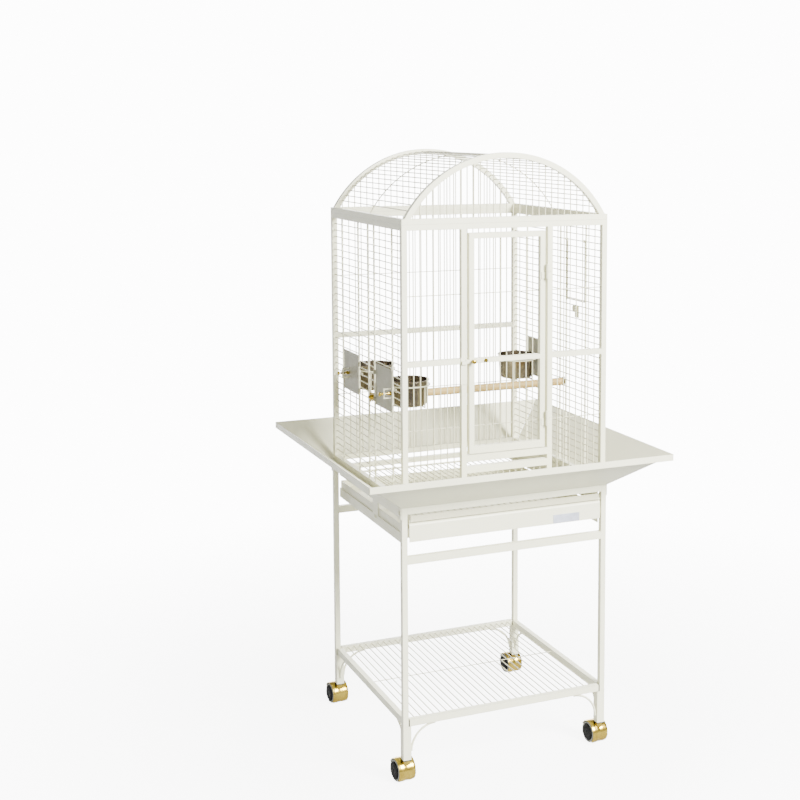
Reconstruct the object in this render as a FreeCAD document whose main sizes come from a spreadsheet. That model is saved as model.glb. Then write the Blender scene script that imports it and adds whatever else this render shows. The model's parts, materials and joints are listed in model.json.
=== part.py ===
import FreeCAD, Part
import Sketcher
import math
import os

os.makedirs("parts", exist_ok=True)
Vector = FreeCAD.Vector
Rotation = FreeCAD.Rotation
doc = FreeCAD.newDocument("BirdCage")

# The frame: X to the right, Y to the back, Z up, with the origin on the floor under the middle of the cage.
# All sizes are in millimetres. Heights that end in _height or _level are measured where their note says.
DRIVING = {
    "cage_width": (508, "cage outside, left to right"),
    "cage_depth": (508, "cage outside, front to back"),
    "cage_height": (627.3, "square part of the cage, base to top rail"),
    "dome_height": (156.5, "dome above the square part"),
    "tube": (12.7, "square tube of the cage and the stand"),
    "bar_wire": (2.5, "cage bars and wires"),
    "tie_wire": (2, "thin tie wires across the bars"),
    "wall_rod": (4.5, "upright rods of the side walls"),
    "bar_pitch": (15.875, "distance between bars"),
    "weld": (0.4, "depth to which welded wires sink into each other"),
    "mid_rail_level": (312, "underside of the middle rail above the cage base"),
    "low_tie_level": (168, "lower tie wire above the cage base"),
    "high_tie_level": (469, "upper tie wire above the cage base"),
    "mid_rail": (11, "height of the door's middle rail"),
    "opening_width": (201, "door opening between the jambs"),
    "sill_level": (103, "top of the sill above the cage base"),
    "sill_rail": (16, "height of the sill rails"),
    "sill_slot": (10, "open slot between the sill rails"),
    "door_side_gap": (6, "gap beside the door"),
    "door_top_gap": (9, "gap above the door"),
    "door_foot_gap": (2, "gap below the door"),
    "door_foot_rail": (17.5, "height of the door's bottom rail"),
    "door_bar_count": (9, "upright bars in the door"),
    "barrel": (9, "hinge barrel outside"),
    "hinge_pin": (5, "main hinge pin"),
    "pin_head": (8, "head of the main hinge pin"),
    "knuckle": (16, "length of one hinge knuckle"),
    "low_hinge": (172, "middle of the lower hinge above the cage base"),
    "high_hinge": (512, "middle of the upper hinge above the cage base"),
    "leaf": (1.6, "thickness of the welded hinge and latch plates"),
    "running": (0.06, "radial clearance of a pin in its hole"),
    "face_gap": (0.4, "gap between faces that move past each other"),
    "latch_reach": (48, "latch rivet to keeper"),
    "latch_rise": (9, "height of the latch lever"),
    "rivet": (5, "latch rivet"),
    "rivet_from_edge": (39, "latch rivet from the free edge of the door"),
    "latch_knob": (10, "brass knob of the door latch"),
    "latch_knob_length": (13, "brass knob of the door latch, standing out of the lever"),
    "latch_knob_place": (32, "brass knob from the latch rivet"),
    "keeper_width": (15, "latch keeper plate, across"),
    "keeper_height": (52, "latch keeper plate, upright"),
    "feeder_gap": (121, "distance between the two rods beside a feeder"),
    "feeder_plate_width": (108, "feeder door, front to back"),
    "feeder_height": (97, "feeder door, upright"),
    "feeder_level": (199, "bottom of a feeder door above the cage base"),
    "feeder_sheet": (1.2, "sheet of the feeder doors"),
    "front_feeder_place": (122, "front feeder's middle, ahead of the cage's middle"),
    "rear_feeder_place": (112, "rear feeders' middle, behind the cage's middle"),
    "middle_rod_place": (20, "single rod of the side walls, ahead of the middle"),
    "lug_wall": (1.2, "wall of the curled feeder hinges"),
    "lug_height": (10, "length of a curled feeder hinge"),
    "loop_wire": (3.5, "wire of the feeder latch loops"),
    "loop_reach": (17, "feeder latch loop, door face to the middle of its upright wire"),
    "loop_height": (21, "feeder latch loop, between wire middles"),
    "loop_eye": (8.4, "eye in the loop that guides the plunger, outside"),
    "front_loop_place": (10, "front feeder's latch loop from the rod at the door's free edge"),
    "rear_loop_place": (46, "rear feeders' latch loops from the rod at the door's free edge"),
    "plunger": (4, "brass plunger of a feeder latch"),
    "plunger_barrel": (8, "spring barrel on the plunger"),
    "barrel_length": (8, "spring barrel on the plunger, along it"),
    "feeder_knob": (9.4, "brass feeder knob"),
    "feeder_knob_length": (11, "feeder knob, beyond its loop"),
    "cup_radius": (49, "feeding cup at its rim"),
    "cup_depth": (60, "feeding cup, rim to base"),
    "cup_sheet": (1, "sheet of the cups"),
    "cup_roll": (2, "rolled rim of a cup, wire radius"),
    "cup_rim_level": (263.5, "cup rim above the cage base"),
    "cup_ring_drop": (12, "holder ring below the cup rim"),
    "cup_gap": (0.5, "clearance of a cup in its ring"),
    "holder_wire": (3.5, "ring of the cup holders"),
    "holder_angle": (30, "arms and cradle wires on the ring, off its middle lines, degrees"),
    "holder_lap": (9, "holder crossbar beyond the feeder's rods"),
    "cradle_wire": (3, "wires that hang from the ring and carry the cup"),
    "cup_from_wall": (55, "cup's middle from the wall wires"),
    "perch_diameter": (18.7, "wooden perch"),
    "perch_place": (38, "perch ahead of the cage's middle"),
    "perch_screw": (5, "perch screw"),
    "perch_washer": (22, "perch washer"),
    "perch_grip": (17, "perch screw inside the perch"),
    "wing_nut": (6, "wing nut, along the screw"),
    "wing_reach": (12, "wing of the nut, from the screw's middle"),
    "screw_end": (3.5, "perch screw beyond its nut"),
    "nest_front": (155, "front rod of the small wall door, ahead of the middle"),
    "nest_rear": (53, "rear rod of the small wall door, ahead of the middle"),
    "nest_level": (437, "bottom of the small wall door above the cage base"),
    "nest_wire": (3, "frame wire of the small wall door"),
    "nest_rows": (7, "bar pitches that the small wall door covers"),
    "nest_eye": (6.8, "eyes at the top of the small wall door, outside"),
    "nest_eye_width": (4.8, "eyes at the top of the small wall door, across"),
    "button_width": (20, "turn button of the small wall door, across"),
    "button_long": (23, "turn button, screw to its long end"),
    "button_short": (6, "turn button, screw to its short end"),
    "button_washer": (17.5, "washer inside the wall behind the turn button"),
    "stand_margin": (3, "stand wider than the cage, at each side"),
    "stand_top": (640, "top of the stand above the floor"),
    "leg_below_shelf": (0.6, "lower end of the legs below the shelf"),
    "tube_wall": (1.2, "wall of the stand's tubes"),
    "top_rail": (16, "height of the stand's top rails"),
    "rear_rail_drop": (13, "rear top rail below the stand's top"),
    "cross_rail": (18, "height of the crossbars"),
    "front_cross_drop": (131, "underside of the front crossbar below the stand's top"),
    "rear_cross_drop": (137, "underside of the rear crossbar below the stand's top"),
    "tray_runner_drop": (71, "top of the tray runners below the stand's top"),
    "angle_height": (23, "upright leg of the tray runners"),
    "runner_reach": (18, "width of the runner flanges"),
    "runner_sheet": (2, "sheet of the runners"),
    "grate_runner_drop": (36, "top of the grate runners below the stand's top"),
    "side_bracket_width": (38, "upright plate of the side frames"),
    "side_bracket_place": (31, "middle of that plate, ahead of the middle"),
    "side_bracket_drop": (80, "lower end of that plate below the stand's top"),
    "bracket_width": (20, "leg-top bracket, across"),
    "bracket_height": (27, "leg-top bracket, upright"),
    "bracket_sheet": (3, "leg-top bracket, thickness"),
    "bracket_inset": (1, "leg-top bracket from the leg's outer edge"),
    "screw_head": (8, "frame screw head"),
    "screw_head_rise": (2.4, "frame screw head, thickness"),
    "tray_side_gap": (4.3, "tray and grate beside the legs"),
    "tray_depth": (492, "tray, front to back"),
    "tray_wall": (19, "height of the tray's sides"),
    "tray_sheet": (1.2, "sheet of the tray"),
    "tray_apron": (9, "tray front below the tray's floor"),
    "tray_front": (36, "tray front, foot to lip"),
    "tray_lip": (14, "rolled lip of the tray"),
    "slide_gap": (0.3, "play under the tray and the grate"),
    "label_width": (68, "plain label plate, across"),
    "label_height": (20, "plain label plate, upright"),
    "label_sheet": (0.8, "plain label plate, thickness"),
    "label_place": (151, "label plate, to the right of the middle"),
    "grate_frame": (6, "side rods of the grate"),
    "grate_cross": (5, "cross rods of the grate"),
    "grate_lip": (16, "upright front strip of the grate"),
    "grate_depth": (490, "grate, front to back"),
    "guard_overhang": (115, "seed guard beyond the stand's front face"),
    "guard_flat": (2, "level strip of a seed guard beyond the stand's face"),
    "guard_rise": (85.5, "seed guard lip above the stand's top"),
    "guard_lip": (15, "turned-down lip of the seed guards"),
    "guard_sheet": (1.2, "sheet of the seed guards"),
    "guard_flange": (12, "seed guard flange on the stand's top rail"),
    "guard_mitre_gap": (0.6, "gap at each mitred end of a seed guard"),
    "shelf_level": (133.6, "underside of the shelf above the floor"),
    "shelf_rail": (16, "height of the shelf rails"),
    "shelf_plug": (3, "black plug between shelf rail and leg"),
    "post": (19, "foot post, square"),
    "hood_room": (2, "foot posts above the caster hoods"),
    "brace": (5, "corner brace rod"),
    "brace_radius": (58, "corner brace bend"),
    "wheel_radius": (25, "caster wheel"),
    "wheel_width": (15.5, "caster wheel"),
    "caster_web": (9, "middle web of a caster hood"),
    "axle": (6, "caster axle"),
    "axle_cover": (3, "outer wall of a wheel over the axle's end"),
    "web_hub": (14.4, "hub of the hood's web"),
    "tyre_edge": (1.2, "bevel at the wheel's edges"),
    "tyre_side": (4.5, "flat side of the tyre"),
    "flank_recess": (2.5, "wheel's flank, in from the tyre's side"),
    "hub_cap": (12.5, "wheel's hub cap, radius at its foot"),
    "hub_dome": (0.4, "hub cap beyond the tyre's side"),
    "caster_trail": (18, "axle behind the swivel"),
    "caster_turn": (5, "casters turned on their swivels, degrees"),
    "hood_gap": (0.9, "hood over the wheels"),
    "hood_sheet": (1.2, "thinnest part of the hood"),
    "hood_crown": (0.9, "swelling of the hood over each wheel"),
    "hood_front": (140, "hood ahead of upright, degrees"),
    "hood_back": (62, "hood behind upright, degrees"),
    "stem": (8, "caster stem"),
    "stem_reach": (21, "stem inside its foot post"),
    "stem_boss": (17, "boss of the hood around the stem"),
    "boss_foot": (18.5, "underside of that boss above the axle"),
    "collar": (2.2, "collar of a stem socket under its post"),
}

sheet = doc.addObject("Spreadsheet::Sheet", "Sizes")
for row, (name, (value, note)) in enumerate(DRIVING.items(), start=1):
    sheet.set(f"A{row}", name)
    sheet.set(f"B{row}", str(value))
    sheet.set(f"C{row}", note)
    sheet.setAlias(f"B{row}", name)
doc.recompute()


class Size:
    """A length or an angle: the expression that ties it to the sheet, and its present value."""

    def __init__(self, text, value):
        self.text = text
        self.value = float(value)

    def __add__(self, other):
        other = as_size(other)
        return Size(f"({self.text} + {other.text})", self.value + other.value)

    def __sub__(self, other):
        other = as_size(other)
        return Size(f"({self.text} - {other.text})", self.value - other.value)

    def __mul__(self, other):
        other = as_size(other)
        return Size(f"({self.text} * {other.text})", self.value * other.value)

    def __truediv__(self, other):
        other = as_size(other)
        return Size(f"({self.text} / {other.text})", self.value / other.value)

    def __neg__(self):
        return Size(f"(0 - {self.text})", -self.value)


def as_size(number):
    return number if isinstance(number, Size) else Size(str(float(number)), number)


def root(number):
    return Size(f"sqrt({number.text})", math.sqrt(number.value))


def sine(degrees):
    return Size(f"sin({degrees.text} * 1 deg)", math.sin(math.radians(degrees.value)))


def cosine(degrees):
    return Size(f"cos({degrees.text} * 1 deg)", math.cos(math.radians(degrees.value)))


class Sizes:
    """The cells of the sheet, by name."""


for name, (value, note) in DRIVING.items():
    setattr(Sizes, name, Size(f"Sizes.{name}", value))

ZERO = as_size(0)
# How far a cutting tool stands out of the piece that it cuts.
CLEAR = as_size(1)
HALF_WIDTH = Sizes.cage_width / 2
HALF_DEPTH = Sizes.cage_depth / 2
CAGE_BASE = Sizes.stand_top + Sizes.guard_sheet
CAGE_TOP = CAGE_BASE + Sizes.cage_height
INNER_X = HALF_WIDTH - Sizes.tube
INNER_Y = HALF_DEPTH - Sizes.tube
WIRE_X = HALF_WIDTH - Sizes.tube / 2
WIRE_Y = HALF_DEPTH - Sizes.tube / 2
SUB_PARTS = {}


# ---------------------------------------------------------------- building blocks

def bind(piece, name, size):
    piece.setExpression(name, as_size(size).text)


def bind_place(piece, place):
    for name, size in zip("xyz", place):
        bind(piece, "Placement.Base." + name, size)


def box(across, along, upright):
    """A block; each argument is its lowest and highest place on X, Y or Z."""
    block = doc.addObject("Part::Box", "block")
    for name, (low, high) in zip(("Length", "Width", "Height"), (across, along, upright)):
        bind(block, name, as_size(high) - low)
    bind_place(block, (across[0], along[0], upright[0]))
    return block


TURNS = {
    "x": Rotation(Vector(0, 1, 0), 90),
    "y": Rotation(Vector(1, 0, 0), -90),
    "z": Rotation(),
}


def rod(axis, diameter, start, length):
    """A round rod that runs from its start towards +X, +Y or +Z."""
    piece = doc.addObject("Part::Cylinder", "rod")
    piece.Placement = FreeCAD.Placement(Vector(), TURNS[axis])
    bind(piece, "Radius", as_size(diameter) / 2)
    bind(piece, "Height", length)
    bind_place(piece, start)
    return piece


def ball(diameter, place):
    piece = doc.addObject("Part::Sphere", "ball")
    bind(piece, "Radius", diameter / 2)
    bind_place(piece, place)
    return piece


def fuse(pieces):
    whole = doc.addObject("Part::MultiFuse", "welded")
    whole.Shapes = pieces
    return whole


def cut(base, tools):
    rest = doc.addObject("Part::Cut", "cut")
    rest.Base = base
    rest.Tool = tools[0] if len(tools) == 1 else fuse(tools)
    return rest


def group(pieces):
    """Separate solids that share one name."""
    bundle = doc.addObject("Part::Compound", "set")
    bundle.Links = pieces
    return bundle


def name_part(piece, label):
    piece.Label = label
    SUB_PARTS[label] = piece
    return piece


def hollow(axis, outer, inner, start, length):
    """A round tube, open at both ends."""
    return cut(rod(axis, outer, start, length), [rod(axis, inner, start, length)])


def square_tube(across, along, upright, axis):
    """A square tube of the stand, open at both ends along its axis."""
    wall = Sizes.tube_wall
    inner = []
    for name, (low, high) in zip("xyz", (across, along, upright)):
        inner.append((low, high) if name == axis else (as_size(low) + wall, as_size(high) - wall))
    return cut(box(across, along, upright), [box(*inner)])


def outline(body, role, corners):
    """A closed sketch of straight sides on one of the body's origin planes."""
    plane = [item for item in body.Origin.OriginFeatures if item.Role == role][0]
    sketch = body.newObject("Sketcher::SketchObject", "outline")
    sketch.AttachmentSupport = (plane, "")
    sketch.MapMode = "FlatFace"
    points = [Vector(as_size(a).value, as_size(b).value, 0) for a, b in corners]
    for start, end in zip(points, points[1:] + points[:1]):
        sketch.addGeometry(Part.LineSegment(start, end))
    for number, (across, up) in enumerate(corners):
        following = (number + 1) % len(corners)
        sketch.addConstraint(Sketcher.Constraint("Coincident", number, 2, following, 1))
        for kind, size in (("DistanceX", as_size(across)), ("DistanceY", as_size(up))):
            index = sketch.addConstraint(Sketcher.Constraint(kind, -1, 1, number, 1, size.value))
            sketch.setExpression(f"Constraints[{index}]", size.text)
    return sketch


def turned(corners):
    """A lathe shape about the upright axis; each corner is a radius and a height."""
    body = doc.addObject("PartDesign::Body", "turned")
    sketch = outline(body, "XZ_Plane", corners)
    feature = body.newObject("PartDesign::Revolution", "turn")
    feature.Profile = sketch
    feature.ReferenceAxis = (sketch, ["V_Axis"])
    feature.Angle = 360
    return body


def placed(piece, place, rotation=None):
    if rotation is not None:
        piece.Placement = FreeCAD.Placement(Vector(), rotation)
    bind_place(piece, place)
    return piece


def spread(low, high, pitch=Sizes.bar_pitch):
    """Places of the bars that divide a gap evenly, at about the given pitch."""
    span = as_size(high) - low
    gaps = max(1, round(span.value / pitch.value))
    return [as_size(low) + span * (number / gaps) for number in range(1, gaps)]


def wall_rows(low, high):
    """Heights of the side walls' wires, at the bar pitch exactly, from the bottom rail up."""
    count = int((high.value - low.value - Sizes.bar_wire.value) / Sizes.bar_pitch.value)
    return [low + Sizes.bar_pitch * number for number in range(1, count + 1)]


# ---------------------------------------------------------------- cage walls

SINK = Sizes.tube / 2


def bars(xs, y, low, high):
    """Upright bars whose ends sink into the rails below and above them."""
    foot = as_size(low) - SINK
    return [rod("z", Sizes.bar_wire, (x, y, foot), as_size(high) + SINK - foot) for x in xs]


def cross_tie(low_x, high_x, y, level):
    """A thin wire across the inside of the bars."""
    inward = (Sizes.bar_wire + Sizes.tie_wire) / 2 - Sizes.weld
    start = (as_size(low_x) - SINK, y + (inward if y.value < 0 else -inward), CAGE_BASE + level)
    return rod("x", Sizes.tie_wire, start, as_size(high_x) - low_x + SINK * 2)


RAIL_BOTTOM_TOP = CAGE_BASE + Sizes.tube
RAIL_TOP_FOOT = CAGE_TOP - Sizes.tube
MID_FOOT = CAGE_BASE + Sizes.mid_rail_level
JAMB_X = Sizes.opening_width / 2
SILL_TOP = CAGE_BASE + Sizes.sill_level
SILL_FOOT = SILL_TOP - Sizes.sill_rail
SECOND_TOP = SILL_FOOT - Sizes.sill_slot
SECOND_FOOT = SECOND_TOP - Sizes.sill_rail
FRONT = (-HALF_DEPTH, -INNER_Y)
BACK = (INNER_Y, HALF_DEPTH)


def frame_members(along):
    """Corner posts with the top and bottom rails between them."""
    members = [box((-HALF_WIDTH, -INNER_X), along, (CAGE_BASE, CAGE_TOP)),
               box((INNER_X, HALF_WIDTH), along, (CAGE_BASE, CAGE_TOP))]
    for upright in ((CAGE_BASE, RAIL_BOTTOM_TOP), (RAIL_TOP_FOOT, CAGE_TOP)):
        members.append(box((-INNER_X, INNER_X), along, upright))
    return members


def front_panel():
    pieces = frame_members(FRONT)
    jamb_outer = JAMB_X + Sizes.tube
    for low, high in ((-jamb_outer, -JAMB_X), (JAMB_X, jamb_outer)):
        pieces.append(box((low, high), FRONT, (RAIL_BOTTOM_TOP, RAIL_TOP_FOOT)))
    for low, high in ((-INNER_X, -jamb_outer), (jamb_outer, INNER_X)):
        pieces.append(box((low, high), FRONT, (MID_FOOT, MID_FOOT + Sizes.tube)))
        pieces += bars(spread(low, high), -WIRE_Y, RAIL_BOTTOM_TOP, RAIL_TOP_FOOT)
        for level in (Sizes.low_tie_level, Sizes.high_tie_level):
            pieces.append(cross_tie(low, high, -WIRE_Y, level))
    for upright in ((SILL_FOOT, SILL_TOP), (SECOND_FOOT, SECOND_TOP)):
        pieces.append(box((-JAMB_X, JAMB_X), FRONT, upright))
    pieces += bars(spread(-JAMB_X, JAMB_X), -WIRE_Y, RAIL_BOTTOM_TOP, SECOND_FOOT)
    return fuse(pieces)


def back_panel():
    pieces = frame_members(BACK)
    pieces.append(box((-INNER_X, INNER_X), BACK, (MID_FOOT, MID_FOOT + Sizes.tube)))
    pieces += bars(spread(-INNER_X, INNER_X), WIRE_Y, RAIL_BOTTOM_TOP, RAIL_TOP_FOOT)
    for level in (Sizes.low_tie_level, Sizes.high_tie_level):
        pieces.append(cross_tie(-INNER_X, INNER_X, WIRE_Y, level))
    return fuse(pieces)


# The side walls: level wires between the corner posts, welded inside a few upright rods.
ROWS = wall_rows(RAIL_BOTTOM_TOP, RAIL_TOP_FOOT)
ROD_X = WIRE_X + (Sizes.bar_wire + Sizes.wall_rod) / 2 - Sizes.weld
FEEDER_FOOT = CAGE_BASE + Sizes.feeder_level
FEEDER_TOP = FEEDER_FOOT + Sizes.feeder_height
NEST_FOOT = CAGE_BASE + Sizes.nest_level


def row_above(level):
    """The number of the first wall wire at or above a height."""
    return [row.value >= level.value for row in ROWS].index(True)


NEST_FIRST = row_above(NEST_FOOT)
NEST_LAST = NEST_FIRST + int(Sizes.nest_rows.value)


def feeder_rods(middle):
    return (middle - Sizes.feeder_gap / 2, middle + Sizes.feeder_gap / 2)


FRONT_FEEDER = feeder_rods(-Sizes.front_feeder_place)
REAR_FEEDER = feeder_rods(Sizes.rear_feeder_place)
NEST = (-Sizes.nest_front, -Sizes.nest_rear)


def side_panel(side, windows):
    """A side wall; windows are the spans that its wires leave open, as (rods, first row, last row)."""
    across = (-HALF_WIDTH, -INNER_X) if side < 0 else (INNER_X, HALF_WIDTH)
    pieces = [box(across, (-INNER_Y, INNER_Y), (CAGE_BASE, RAIL_BOTTOM_TOP)),
              box(across, (-INNER_Y, INNER_Y), (RAIL_TOP_FOOT, CAGE_TOP))]
    rods = [-Sizes.middle_rod_place]
    for (low, high), first, last in windows:
        rods += [low, high]
    for y in rods:
        start = (ROD_X * side, y, RAIL_BOTTOM_TOP - Sizes.weld)
        pieces.append(rod("z", Sizes.wall_rod, start, RAIL_TOP_FOOT - RAIL_BOTTOM_TOP + Sizes.weld * 2))
    for number, level in enumerate(ROWS):
        start = -INNER_Y
        for (low, high), first, last in sorted(windows, key=lambda window: window[0][0].value):
            if first <= number <= last:
                pieces.append(rod("y", Sizes.bar_wire, (WIRE_X * side, start, level), low - start))
                start = high
        pieces.append(rod("y", Sizes.bar_wire, (WIRE_X * side, start, level), INNER_Y - start))
    return fuse(pieces)


def feeder_window(rods):
    return (rods, row_above(FEEDER_FOOT), row_above(FEEDER_TOP) - 1)


name_part(front_panel(), "front_panel")
name_part(back_panel(), "back_panel")
name_part(side_panel(-1, [feeder_window(FRONT_FEEDER), feeder_window(REAR_FEEDER)]), "left_panel")
name_part(side_panel(1, [feeder_window(REAR_FEEDER), (NEST, NEST_FIRST, NEST_LAST)]), "right_panel")


# ---------------------------------------------------------------- dome

DOME_RADIUS = (HALF_WIDTH * HALF_WIDTH + Sizes.dome_height * Sizes.dome_height) / (Sizes.dome_height * 2)
DOME_CENTRE = CAGE_TOP + Sizes.dome_height - DOME_RADIUS
DOME_BASE_TOP = CAGE_TOP + Sizes.tube
INNER_RADIUS = DOME_RADIUS - Sizes.tube


def arch(along, outer, inner, foot):
    """A ring about the dome's axis, cut off below a height."""
    depth = as_size(along[1]) - along[0]
    beyond = DOME_RADIUS + CLEAR
    below = box((-beyond, beyond), along, (DOME_CENTRE - beyond, foot))
    start = (ZERO, along[0], DOME_CENTRE)
    return cut(hollow("y", outer * 2, inner * 2, start, depth), [below])


def dome_end(along, y):
    """One arched end: base rail, arch and upright bars."""
    pieces = [box((-HALF_WIDTH, HALF_WIDTH), along, (CAGE_TOP, DOME_BASE_TOP)),
              arch(along, DOME_RADIUS, INNER_RADIUS, CAGE_TOP + Sizes.tube / 2)]
    middle_radius = DOME_RADIUS - Sizes.tube / 2
    for x in spread(-INNER_X, INNER_X):
        top = DOME_CENTRE + root(middle_radius * middle_radius - x * x)
        if top.value > DOME_BASE_TOP.value + Sizes.tube.value:
            start = (x, y, CAGE_TOP + Sizes.tube / 2)
            pieces.append(rod("z", Sizes.bar_wire, start, top - start[2]))
    return fuse(pieces)


def roof_grille():
    """Side base rails, and roof wires that run from arch to arch along the curve."""
    pieces = []
    for across in ((-HALF_WIDTH, -INNER_X), (INNER_X, HALF_WIDTH)):
        pieces.append(box(across, (-INNER_Y, INNER_Y), (CAGE_TOP, DOME_BASE_TOP)))
    radius = DOME_RADIUS - Sizes.tube / 2
    step = Sizes.bar_pitch / radius * (180 / math.pi)
    lowest = DOME_BASE_TOP.value + Sizes.bar_wire.value * 2 - DOME_CENTRE.value
    count = int(math.degrees(math.acos(lowest / radius.value)) / step.value)
    for number in range(-count, count + 1):
        x = radius * sine(step * number)
        z = DOME_CENTRE + radius * cosine(step * number)
        pieces.append(rod("y", Sizes.bar_wire, (x, -INNER_Y, z), INNER_Y * 2))
    return group(pieces)


def roof_hoop():
    """The thin wire under the middle of the roof wires, from side rail to side rail."""
    outer = DOME_RADIUS - (Sizes.tube + Sizes.bar_wire) / 2
    along = (-Sizes.tie_wire / 2, Sizes.tie_wire / 2)
    whole = arch(along, outer, outer - Sizes.tie_wire, CAGE_TOP + Sizes.tube / 2)
    tools = []
    for low, high in ((-HALF_WIDTH, -INNER_X), (INNER_X, HALF_WIDTH)):
        tools.append(box((low, high), (-Sizes.tube, Sizes.tube), (CAGE_TOP, DOME_BASE_TOP)))
    return cut(whole, tools)


name_part(dome_end(FRONT, -WIRE_Y), "dome_front")
name_part(dome_end(BACK, WIRE_Y), "dome_rear")
name_part(roof_grille(), "roof_grille")
name_part(roof_hoop(), "roof_hoop")


# ---------------------------------------------------------------- main door

DOOR_X = JAMB_X - Sizes.door_side_gap
DOOR_FOOT = SILL_TOP + Sizes.door_foot_gap
DOOR_TOP = RAIL_TOP_FOOT - Sizes.door_top_gap
HINGE_X = JAMB_X - Sizes.door_side_gap / 2
HINGE_Y = -HALF_DEPTH - Sizes.leaf - Sizes.barrel / 2


def main_door():
    inner_x = DOOR_X - Sizes.tube
    foot_top = DOOR_FOOT + Sizes.door_foot_rail
    top_foot = DOOR_TOP - Sizes.tube
    pieces = [box((-DOOR_X, -inner_x), FRONT, (DOOR_FOOT, DOOR_TOP)),
              box((inner_x, DOOR_X), FRONT, (DOOR_FOOT, DOOR_TOP)),
              box((-inner_x, inner_x), FRONT, (DOOR_FOOT, foot_top)),
              box((-inner_x, inner_x), FRONT, (top_foot, DOOR_TOP)),
              box((-inner_x, inner_x), FRONT, (MID_FOOT, MID_FOOT + Sizes.mid_rail))]
    gaps = Sizes.door_bar_count + 1
    xs = [-inner_x + inner_x * 2 / gaps * number for number in range(1, int(gaps.value))]
    pieces += bars(xs, -WIRE_Y, foot_top, top_foot)
    for level in (Sizes.low_tie_level, Sizes.high_tie_level):
        pieces.append(cross_tie(-inner_x, inner_x, -WIRE_Y, level))
    return fuse(pieces)


def knuckle(foot, out_x):
    """A hinge barrel with the leaf that carries it, welded to the front of its tube."""
    bore = Sizes.hinge_pin + Sizes.running * 2
    barrel = rod("z", Sizes.barrel, (HINGE_X, HINGE_Y, foot), Sizes.knuckle)
    low, high = (HINGE_X, out_x) if out_x.value > HINGE_X.value else (out_x, HINGE_X)
    leaf = box((low, high), (-HALF_DEPTH - Sizes.leaf, -HALF_DEPTH), (foot, foot + Sizes.knuckle))
    neck = box((HINGE_X - Sizes.leaf, HINGE_X + Sizes.leaf), (HINGE_Y, -HALF_DEPTH - Sizes.leaf / 2),
               (foot, foot + Sizes.knuckle))
    hole = rod("z", bore, (HINGE_X, HINGE_Y, foot), Sizes.knuckle)
    return cut(fuse([barrel, leaf, neck]), [hole])


HINGES = [CAGE_BASE + Sizes.low_hinge, CAGE_BASE + Sizes.high_hinge]
LEAF_REACH = Sizes.tube


def hinge_pin(middle):
    """A pin with a domed head on top of the upper knuckle."""
    shank = rod("z", Sizes.hinge_pin, (HINGE_X, HINGE_Y, middle - Sizes.knuckle), Sizes.knuckle * 2)
    head = rod("z", Sizes.pin_head, (HINGE_X, HINGE_Y, middle + Sizes.knuckle), Sizes.leaf)
    return fuse([shank, head])


LATCH_Z = MID_FOOT + Sizes.mid_rail / 2
RIVET_X = -DOOR_X + Sizes.rivet_from_edge
PLATE_Y = (-HALF_DEPTH - Sizes.leaf, -HALF_DEPTH)
LEVER_Y = (PLATE_Y[0] - Sizes.face_gap - Sizes.leaf, PLATE_Y[0] - Sizes.face_gap)


def keeper():
    """The plate on the left jamb, with the two lips that hold the lever's end."""
    low = -JAMB_X - Sizes.keeper_width
    slot_foot = LATCH_Z - Sizes.latch_rise / 2 - Sizes.face_gap
    plate = box((low, -JAMB_X), PLATE_Y, (LATCH_Z - Sizes.keeper_height, LATCH_Z + Sizes.latch_rise))
    ledge = box((low + Sizes.leaf, -JAMB_X - Sizes.leaf), (LEVER_Y[0] - Sizes.leaf, PLATE_Y[0]),
                (slot_foot - Sizes.leaf, slot_foot))
    cheek_y = (LEVER_Y[0] - Sizes.face_gap - Sizes.leaf, LEVER_Y[0] - Sizes.face_gap)
    cheek = box((low + Sizes.leaf, -JAMB_X - Sizes.leaf), cheek_y,
                (slot_foot - Sizes.leaf, LATCH_Z + Sizes.latch_rise / 4))
    return fuse([plate, ledge, cheek])


def door_latch():
    """The lever: a flat bar that turns on its rivet and drops into the keeper."""
    foot, top = LATCH_Z - Sizes.latch_rise / 2, LATCH_Z + Sizes.latch_rise / 2
    bar = box((RIVET_X - Sizes.latch_reach, RIVET_X + Sizes.latch_rise / 2), LEVER_Y, (foot, top))
    bore = Sizes.rivet + Sizes.running * 2
    return cut(bar, [rod("y", bore, (RIVET_X, LEVER_Y[0], LATCH_Z), Sizes.leaf)])


def latch_rivet():
    """The rivet with its spacer washer on the door's middle rail."""
    spacer = rod("y", Sizes.latch_rise, (RIVET_X, -HALF_DEPTH - Sizes.leaf, LATCH_Z), Sizes.leaf)
    shank = rod("y", Sizes.rivet, (RIVET_X, LEVER_Y[0] - Sizes.face_gap, LATCH_Z),
                Sizes.leaf * 2 + Sizes.face_gap * 2)
    head_y = LEVER_Y[0] - Sizes.face_gap - Sizes.leaf
    head = rod("y", Sizes.latch_rise, (RIVET_X, head_y, LATCH_Z), Sizes.leaf)
    return fuse([spacer, shank, head])


# A turned knob's outline: base collar, waist and rounded head, as shares of its radius and its length.
KNOB_OUTLINE = [(0, 0), (0.72, 0), (0.72, 0.12), (0.45, 0.2), (0.45, 0.42), (0.85, 0.52),
                (1, 0.66), (1, 0.8), (0.8, 0.93), (0.4, 1), (0, 1)]


def pull_knob(diameter, length):
    """A turned knob with its base at zero height."""
    return turned([(diameter / 2 * across, length * up) for across, up in KNOB_OUTLINE])


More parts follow.
